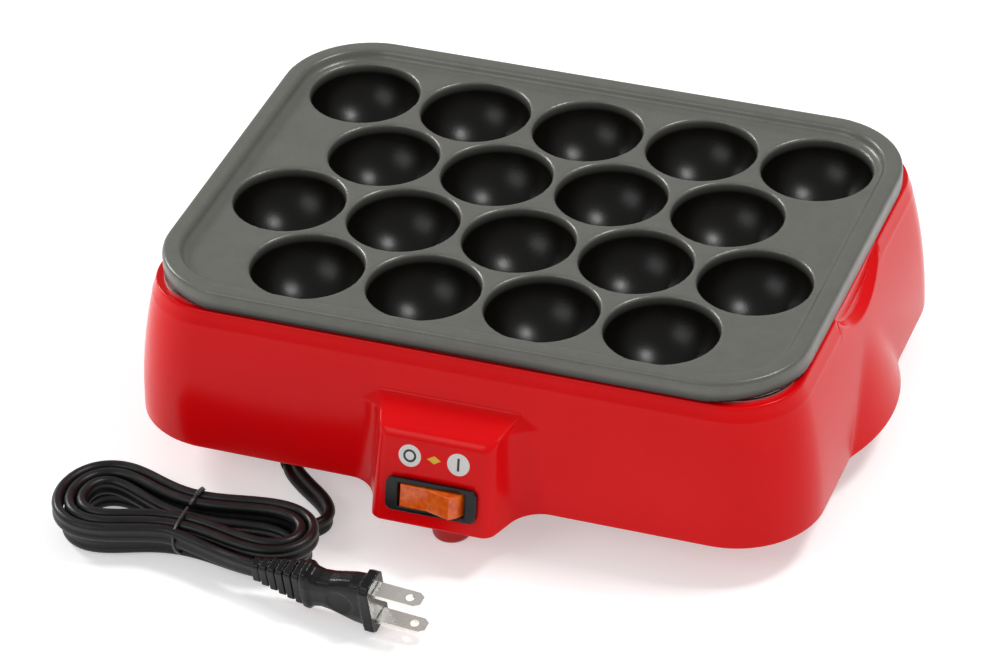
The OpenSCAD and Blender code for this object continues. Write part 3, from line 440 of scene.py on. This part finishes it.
plug_black = material("plug_moulding", (0.0055, 0.0055, 0.006), (0.011, 0.011, 0.0115), rough=(0.20, 0.30),
                      scale=240, bump=0.1, bump_scale=1300, edge_wear_and_sheen=(0.04, 0.04, 0.04), edge_wear_and_sheen_amount=0.7,
                      spec=0.26)
blade = material("plated_blade", (0.93, 0.91, 0.86), (0.84, 0.82, 0.76), rough=(0.24, 0.36), metal=1.0,
                 scale=300, bump=0.1, bump_scale=900, brushed=(1, 10, 10), edge_wear_and_sheen=(0.92, 0.9, 0.84))
brass = material("brass", (0.70, 0.52, 0.22), (0.60, 0.43, 0.17), rough=(0.25, 0.38), metal=1.0,
                 scale=500, bump=0.1, bump_scale=1500, edge_wear_and_sheen=(0.85, 0.68, 0.35))
lead_dark = material("lead_dark", (0.015, 0.015, 0.015), (0.03, 0.03, 0.03), rough=(0.4, 0.55),
                     scale=400, bump=0.15, edge_wear_and_sheen=(0.08, 0.08, 0.08))
lead_grey = material("lead_glass_braid", (0.55, 0.55, 0.50), (0.42, 0.42, 0.38), rough=(0.6, 0.75),
                     scale=1500, bump=0.5, bump_scale=2500, edge_wear_and_sheen=(0.7, 0.7, 0.65))
lead_white = material("lead_white", (0.70, 0.70, 0.66), (0.60, 0.60, 0.56), rough=(0.4, 0.55),
                      scale=400, bump=0.15, edge_wear_and_sheen=(0.85, 0.85, 0.82))
paint_white = material("printed_white", (0.80, 0.79, 0.77), (0.72, 0.71, 0.69), rough=(0.3, 0.42),
                       scale=500, bump=0.1, bump_scale=1600, edge_wear_and_sheen=(0.86, 0.86, 0.84))
paint_black = material("printed_black", (0.012, 0.012, 0.012), (0.03, 0.03, 0.03), rough=(0.3, 0.45),
                       scale=900, bump=0.1, bump_scale=1600, edge_wear_and_sheen=(0.1, 0.1, 0.1))
paint_yellow = material("printed_yellow", (0.80, 0.50, 0.02), (0.70, 0.42, 0.015), rough=(0.3, 0.42),
                        scale=500, bump=0.1, bump_scale=1600, edge_wear_and_sheen=(0.9, 0.65, 0.1))


def paint(ob, m):
    if ob.material_slots:
        for s in ob.material_slots:
            s.material = m
    else:
        ob.data.materials.append(m)


FINISH = {
    "body_shell": red, "bottom_cover": red_low, "cover_screws": bright, "reflector_pan": steel_pan,
    "pan_screws": bright, "heater_tube": sheath, "heater_seals": ceramic, "heater_pins": bright,
    "heater_clips": bright, "thermostat": black, "thermostat_cap": bright, "thermostat_screws": bright,
    "thermal_fuse": bright, "fuse_clip": bright, "lead_live": lead_dark, "lead_link": lead_grey,
    "lead_heater": lead_grey, "lead_switched": lead_dark, "lead_neutral": lead_white,
    "crimp_caps": brass, "switch_housing": black, "switch_terminals": brass, "neon_lamp": lamp,
    "rocker": orange, "cook_plate": coated, "cord_bush": black, "cord_inner": cord_black,
    "cord_clamp": black, "clamp_screws": bright, "cord_stretch": cord_black, "cord_hank": cord_black,
    "cord_tail": cord_black, "cord_tie": cord_black, "plug_relief": plug_black, "plug_body": plug_black,
    "plug_blades": blade}
for name, m in FINISH.items():
    paint(NODES[name], m)


def piece(ob, m, body="base"):
    paint(ob, m)
    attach(ob, body)
    return ob


piece(cord, cord_black)
piece(sleeve, black)
piece(tie, paint_black)
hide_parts("cord_stretch", "cord_hank", "cord_tail")
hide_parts("cord_tie")

# ---- Body: one moulded ring with the switch box, the grips and the finger notches drawn out of it ----

CY, HX, HY, CORNER = 11.714879, 123.5, 92.5, 31.0
ZB, SHOULDER, LEDGE, WALL = 16.0, 64.0, 69.0, 2.8
LEAN, SHOULDER_IN, LIP_IN = 5.8, 7.4, 12.2
ARC = ((SHOULDER - ZB) ** 2 + LEAN ** 2) / (2 * LEAN)
BOX_OUT, BOX_HALF, BOX_TAPER, BOX_H, BOX_LEAN, FLARE = 19.5, 21.2, 1.2, 31.8, 8.0, 0.35
HOLE_X, HOLE_LOW, HOLE_HIGH = 14.2, 21.56, 32.04
GRIP_R0 = (30 ** 2 + 7 ** 2) / 14


def wall_in(z):
    z = min(z, SHOULDER)
    return ARC - math.sqrt(ARC * ARC - (z - ZB) ** 2)


def soft_max(a, b, k):
    h = max(k - abs(a - b), 0) / k
    return max(a, b) + h * h * k / 4


def box_half(z, inset):
    """The switch box's outline at height z, from the wall at +X to the middle of its front."""
    surface = wall_in(z) + (WALL if inset else 0)
    roof = ZB + BOX_H - inset * 1.1
    up = z - roof
    face = BOX_OUT - (min(z, roof - 3) - ZB) * BOX_LEAN / BOX_H - inset * 1.03
    front = face - (0 if up <= -3 else (up + 3) ** 2 / 8 if up <= 1 else 2 + (up - 1) * 3.2)
    s = BOX_HALF - BOX_TAPER * (z - ZB) / BOX_H - inset * 1.06
    full = face + surface
    deep = soft_max(front + surface, 0.03, 1.6)
    c = min(max(3 - inset, 0.8), deep / 3)
    r = min(8 + inset, deep * 0.6)
    pts = []
    x_far = s + FLARE * full + r
    for k in range(4):
        pts.append((48 + (x_far - 48) * k / 4, 0.0))
    for k in range(10):
        t = math.pi / 2 * k / 9
        v = 1 - math.cos(t)
        pts.append((s + FLARE * (full - v * r) + r * (1 - math.sin(t)), v * r))
    for k in range(1, 5):
        d = r + (deep - c - r) * k / 5
        pts.append((s + FLARE * (full - d), d))
    for k in range(8):
        a = math.pi / 2 * k / 7
        d = deep - c * (1 - math.sin(a))
        pts.append((s + FLARE * (full - d) - c * (1 - math.cos(a)), d))
    x_c = pts[-1][0]
    pts += [(x_c + (HOLE_X - x_c) * k / 3, deep) for k in (1, 2, 3)]
    pts += [(9.5, deep), (4.75, deep), (0.0, deep)]
    return [(x, d - surface) for x, d in pts]


def end_out(u, z, inset=0.0):
    """How far an end wall stands out at u from its middle, with its grip."""
    plain = -wall_in(z) - inset
    r = GRIP_R0 - (7 + wall_in(ZB + 30)) * (z - ZB) / 30 - inset * 1.05
    if abs(u) >= r:
        return plain
    return soft_max(plain, 7 - GRIP_R0 + math.sqrt(r * r - u * u), 0.9)


def notch_z(d, u):
    """Height of the finger notch's floor at d from the lower outline."""
    r = 36.45 + 0.6604 * (HX + d - 115.5)
    return 95.45 - math.sqrt(max(r * r - u * u, 0)) if abs(u) < r else 999


Z_WALL = [16.9 + 2.33 * k for k in range(3)] + [HOLE_LOW + (HOLE_HIGH - HOLE_LOW) * k / 4 for k in range(5)]
Z_WALL = sorted(set([16.9, 18.4, 20.0] + Z_WALL[3:] + [34.5, 37.0, 39.5, 42.0, 43.6]
                    + [44.4 + 0.55 * k for k in range(20)] + [55.6, 56.6, 57.6, 58.6, 59.6, 60.6, 61.6, 62.6]))
Z_INNER = [61.0, 58.0, 55.0] + [52.6 - 1.0 * k for k in range(9)] + [42.0, 39.5, 37.0, 34.5]
Z_INNER = Z_INNER + [HOLE_HIGH + (HOLE_LOW - HOLE_HIGH) * k / 4 for k in range(5)] + [20.0, 18.4, 16.9]
SHOULDER_CURVE = [(-5.5, 63.3), (-5.72, 63.95), (-5.95, 64.6), (-6.2, 65.3), (-6.5, 66.2), (-6.8, 67.2),
                  (-7.1, 68.2), (-7.3, 68.75), (-7.55, 68.96), (-7.8, 69.0), (-7.9, 69.0), (-8.0, 69.0)]
LIP = [(-10.0, 69.0), (-11.9, 69.0), (-12.12, 68.92), (-12.2, 68.7), (-12.2, 67.6), (-12.2, 66.4),
       (-12.0, 66.2), (-9.9, 66.2), (-9.2, 65.6), (-8.6, 64.0)]


def plain_profile(out, inner):
    pts = [(out(16.0) - 0.55, 16.0), (out(16.1) - 0.2, 16.09), (out(16.3), 16.35)]
    pts += [(out(z), z) for z in Z_WALL]
    pts += SHOULDER_CURVE + LIP
    pts += [(inner(z), z) for z in Z_INNER]
    pts += [(inner(16.3), 16.35), (inner(16.1) + 0.2, 16.09), (inner(16.0) + 0.55, 16.0)]
    return pts


def along(line, count):
    """Points evenly spread along a broken line, the ends included."""
    steps = [0.0]
    for a, b in zip(line, line[1:]):
        steps.append(steps[-1] + math.dist(a, b))
    out = []
    for k in range(count):
        at = steps[-1] * k / (count - 1)
        i = max(j for j in range(len(steps) - 1) if steps[j] <= at + 1e-9)
        f = (at - steps[i]) / max(steps[i + 1] - steps[i], 1e-9)
        out.append(tuple(line[i][m] + (line[i + 1][m] - line[i][m]) * f for m in (0, 1)))
    return out


def notched(profile, u):
    """Cuts the finger notch into one profile, with a soft edge where it leaves the wall."""
    first = 3 + len(Z_WALL)
    last = first + len(SHOULDER_CURVE)
    line = profile[3:last]
    cut = None
    for i, (a, b) in enumerate(zip(line, line[1:])):
        fa, fb = notch_z(a[0], u) - a[1], notch_z(b[0], u) - b[1]
        if fa > 0 >= fb:
            t = fa / (fa - fb)
            cut = i, (a[0] + (b[0] - a[0]) * t, a[1] + (b[1] - a[1]) * t)
            break
    if cut is None or cut[0] < 8 or notch_z(-8.0, u) >= LEDGE - 0.05:
        return profile
    i, p = cut
    keep = max(j for j in range(len(line)) if line[j][1] < p[1] - 9)
    rise = along(line[keep:i + 1] + [p], len(Z_WALL) - keep)
    floor = [(p[0] + (-8.0 - p[0]) * k / 7, 0) for k in range(1, 8)]
    floor = [(d, notch_z(d, u)) for d, _ in floor]
    low = floor[-1]
    back = [(-8.0, low[1] + (LEDGE - low[1]) * k / 5) for k in range(1, 6)]
    joined = line[:keep] + rise + floor + back
    e = len(Z_WALL) - 1
    a, b = joined[e - 1], joined[e + 1]
    joined[e] = tuple(joined[e][m] * 0.5 + (a[m] + b[m]) * 0.25 for m in (0, 1))
    return profile[:3] + joined + profile[last:]


def ring_columns():
    """Every column of the body: the points of its profile, in order round the outline."""
    cols = []
    y0 = CY - HY

    def straight(base, normal, out, inner, u=None):
        prof = plain_profile(out, inner)
        if u is not None:
            prof = notched(prof, u)
        cols.append([(base[0] + normal[0] * d, base[1] + normal[1] * d, z) for d, z in prof])

    plain, lined = (lambda z: -wall_in(z)), (lambda z: -wall_in(z) - WALL)
    fx, fy = HX - CORNER, HY - CORNER
    for k in range(14):
        straight((-fx + (fx - 48) * k / 14, y0), (0, -1), plain, lined)
    outer = {z: box_half(z, 0) for z in [16.0, 16.1, 16.3] + Z_WALL}
    inner = {z: box_half(z, WALL) for z in [16.0, 16.1, 16.3] + Z_INNER}
    n = len(outer[16.0])
    start = len(cols)
    order = [(k, -1) for k in range(n)] + [(k, 1) for k in range(n - 2, -1, -1)]
    for k, side in order:
        prof = []
        for z, zz, back in ((16.0, 16.0, 0.55), (16.1, 16.09, 0.2), (16.3, 16.35, 0)):
            x, d = outer[z][k]
            prof.append((side * (x - back * (k < n - 6)), y0 - d + back, zz))
        prof += [(side * outer[z][k][0], y0 - outer[z][k][1], z) for z in Z_WALL]
        x = outer[Z_WALL[-1]][k][0]
        prof += [(side * x, y0 - d, z) for d, z in SHOULDER_CURVE + LIP]
        prof += [(side * inner[z][k][0], y0 - inner[z][k][1], z) for z in Z_INNER]
        for z, zz, back in ((16.3, 16.35, 0), (16.1, 16.09, 0.2), (16.0, 16.0, 0.55)):
            x, d = inner[z][k]
            prof.append((side * (x + back * (k < n - 6)), y0 - d - back, zz))
        cols.append(prof)
    hole = [start + i for i, (k, side) in enumerate(order) if k >= n - 4]
    for k in range(1, 15):
        straight((48 + (fx - 48) * k / 14, y0), (0, -1), plain, lined)

    def corner(cx, cy_, from_deg):
        for k in range(1, 20):
            a = math.radians(from_deg + 90 * k / 20)
            nrm = (math.cos(a), math.sin(a))
            straight((cx + CORNER * nrm[0], cy_ + CORNER * nrm[1]), nrm, plain, lined)

    spread = [-fy, -55, -50, -45, -41, -37.5, -35] + [-33 + 1.1 * k for k in range(61)]
    spread = [u for u in spread if u <= 33.01] + [35, 37.5, 41, 45, 50, 55, fy]

    def end(side):
        for u in spread:
            v = u * side
            straight((side * HX, CY + v), (side, 0), lambda z: end_out(v, z),
                     lambda z: end_out(v, z, WALL), v)

    corner(fx, CY - fy, -90)
    end(1)
    corner(fx, CY + fy, 0)
    for k in range(0, 33):
        straight((fx - 2 * fx * k / 32, CY + HY), (0, 1), plain, lined)
    corner(-fx, CY + fy, 90)
    end(-1)
    corner(-fx, CY - fy, 180)
    return cols, hole


def make_body():
    cols, hole = ring_columns()
    m = len(cols[0])
    verts = [Vector(p) * MM for c in cols for p in c]
    row_low = 3 + Z_WALL.index(HOLE_LOW)
    row_high = 3 + Z_WALL.index(min(Z_WALL, key=lambda z: abs(z - HOLE_HIGH)))
    base = 3 + len(Z_WALL) + len(SHOULDER_CURVE) + len(LIP)
    in_high = base + min(range(len(Z_INNER)), key=lambda i: abs(Z_INNER[i] - HOLE_HIGH))
    in_low = base + min(range(len(Z_INNER)), key=lambda i: abs(Z_INNER[i] - HOLE_LOW))
    faces = []
    for i in range(len(cols)):
        j = (i + 1) % len(cols)
        gap = i in hole and j in hole
        for k in range(m):
            l = (k + 1) % m
            if gap and (row_low <= k < row_high or in_high <= k < in_low):
                continue
            faces.append((i * m + k, j * m + k, j * m + l, i * m + l))
    a, b = hole[0], hole[-1]
    for i in range(a, b):
        faces.append((i * m + row_low, (i + 1) * m + row_low, (i + 1) * m + in_low, i * m + in_low))
        faces.append((i * m + row_high, (i + 1) * m + row_high, (i + 1) * m + in_high, i * m + in_high))
    steps = row_high - row_low
    for col in (a, b):
        for k in range(steps):
            faces.append((col * m + row_low + k, col * m + row_low + k + 1, col * m + in_low - k - 1,
                          col * m + in_low - k))
    return add("body", verts, faces)


# ---- Moulded pieces with rounded edges ----

body = piece(make_body(), red)
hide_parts("body_shell")
plate = piece(soften("cook_plate", "plate", 0.0008, 2), coated, "plate")
bezel = piece(soften("switch_housing", "bezel", 0.00025, 2), black)
rocker = piece(soften("rocker", "rocker_lens", 0.0002, 3), orange, "rocker_switch")
plug = piece(soften("plug_body", "plug", 0.00035, 4), plug_black)
relief = piece(soften("plug_relief", "plug_ribs", 0.00022, 2), plug_black)

# ---- Printed marks on the slanted front of the switch box ----

FACE = Matrix.Translation((0, -0.0975734, 0.0268)) @ Matrix.Rotation(math.radians(-14.12), 4, "X")


def on_front(x, up, out):
    """A point of the front: x across, up along the slant from the switch's centre, out of the face."""
    return FACE @ Vector((x * MM, -out * MM, up * MM))


def token(name, outline, x, up, thick, lift, m, hole=None):
    """A thin printed mark with a rounded rim, and a hole where it is a ring."""
    rings = []
    shapes = [(1.0, lift - 0.06), (1.0, lift + thick * 0.6), (0.985, lift + thick * 0.9), (0.96, lift + thick)]
    for k, out in shapes:
        rings.append([on_front(x + a * k, up + b * k, out) for a, b in outline])
    if hole:
        for k, out in reversed(shapes):
            rings.append([on_front(x + a * hole * (2 - k), up + b * hole * (2 - k), out) for a, b in outline])
        ob = skin(name, rings, closed=True)
    else:
        ob = skin(name, rings)
    return piece(ob, m)


circle = [(math.cos(math.tau * k / 48), math.sin(math.tau * k / 48)) for k in range(48)]
disc = [(4.0 * a, 4.0 * b) for a, b in circle]
ring = [(2.35 * a, 2.35 * b) for a, b in circle]
bar = [(0.42, -2.2), (0.42, 2.2), (0.3, 2.35), (-0.3, 2.35), (-0.42, 2.2), (-0.42, -2.2), (-0.3, -2.35),
       (0.3, -2.35)]
diamond = [(2.45, 0), (0.12, 1.42), (-0.12, 1.42), (-2.45, 0), (-0.12, -1.42), (0.12, -1.42)]
MARK_UP = 14.1
token("mark_off_disc", disc, -8.7, MARK_UP, 0.05, 0.02, paint_white)
token("mark_on_disc", disc, 8.7, MARK_UP, 0.05, 0.02, paint_white)
token("mark_off_ring", ring, -8.7, MARK_UP, 0.04, 0.07, paint_black, hole=0.66)
token("mark_on_bar", bar, 8.7, MARK_UP, 0.04, 0.07, paint_black)
token("mark_diamond", diamond, 0, MARK_UP, 0.05, 0.02, paint_yellow)

# ---- Floor, world and lamps ----

floor = add("floor", [(-6, -6, -0.0002), (6, -6, -0.0002), (6, 6, -0.0002), (-6, 6, -0.0002)], [(0, 1, 2, 3)])


def background_rays(tree):
    """1 for rays that should meet a plain white background: camera, glossy and transmission rays."""
    rays = tree.nodes.new("ShaderNodeLightPath")
    last = rays.outputs["Is Camera Ray"]
    for name in ("Is Glossy Ray", "Is Transmission Ray"):
        top = tree.nodes.new("ShaderNodeMath")
        top.operation = "MAXIMUM"
        tree.links.new(last, top.inputs[0])
        tree.links.new(rays.outputs[name], top.inputs[1])
        last = top.outputs[0]
    return last


fm = bpy.data.materials.new("floor")
fm.use_nodes = True
ft = fm.node_tree
fb = ft.nodes["Principled BSDF"]
fb.inputs["Base Color"].default_value = (0.86, 0.86, 0.86, 1)
fb.inputs["Roughness"].default_value = 0.8
fb.inputs["Specular IOR Level"].default_value = 0.0
fb.inputs["Emission Color"].default_value = (1, 1, 1, 1)
lift = ft.nodes.new("ShaderNodeMapRange")
lift.inputs["To Min"].default_value = 0.0
lift.inputs["To Max"].default_value = 0.42
ft.links.new(background_rays(ft), lift.inputs["Value"])
ft.links.new(lift.outputs["Result"], fb.inputs["Emission Strength"])
floor.data.materials.append(fm)

world = bpy.data.worlds.new("world")
scene.world = world
world.use_nodes = True
wt = world.node_tree
bg = wt.nodes["Background"]
bg.inputs["Color"].default_value = (1, 1, 1, 1)
bg.inputs["Strength"].default_value = 0.42


def lamp_at(name, at, size, power, aim=(0, 0, 0.04), shape="RECTANGLE"):
    data = bpy.data.lights.new(name, "AREA")
    data.shape = shape
    data.size, data.size_y = size
    data.energy = power
    ob = bpy.data.objects.new(name, data)
    scene.collection.objects.link(ob)
    ob.location = at
    ob.rotation_euler = (Vector(aim) - Vector(at)).to_track_quat("-Z", "Y").to_euler()
    return ob


lamp_at("lamp_left", (-1.45, 0.42, 0.85), (0.4, 0.34), 13)
lamp_at("lamp_right", (0.75, 0.3, 1.55), (0.4, 0.34), 13)
lamp_at("lamp_front", (-0.8, -1.3, 1.1), (1.1, 0.7), 6)
